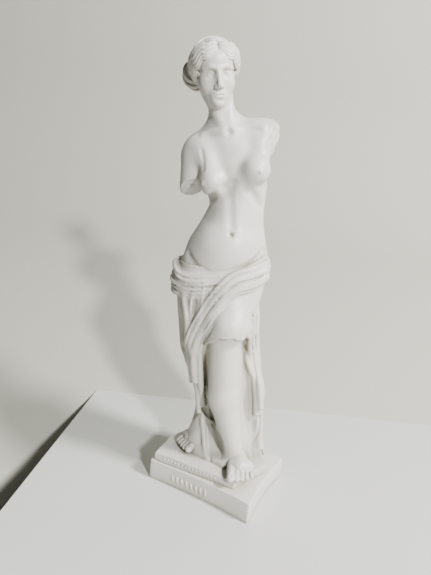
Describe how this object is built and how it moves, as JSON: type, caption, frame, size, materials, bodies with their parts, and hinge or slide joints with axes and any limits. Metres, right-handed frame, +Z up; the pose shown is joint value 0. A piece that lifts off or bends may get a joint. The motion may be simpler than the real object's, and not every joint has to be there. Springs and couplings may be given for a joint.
{
  "type": "classical figure statuette",
  "caption": "Small cast statuette of a half-draped standing classical goddess without arms, on its own slab and a low plinth.",
  "frame": {"origin": "middle of the plinth's flat underside", "axes": "+Z up; the plinth's front, the side with the row of strokes, faces -Y; +X to the right seen from the front"},
  "size_m": [0.0892, 0.0623, 0.2981],
  "materials": {
    "cast": "satin",
    "plinth_cast": "satin"
  },
  "bodies": {
    "root": {"figure": "cast", "plinth": "plinth_cast"}
  },
  "joints": []
}
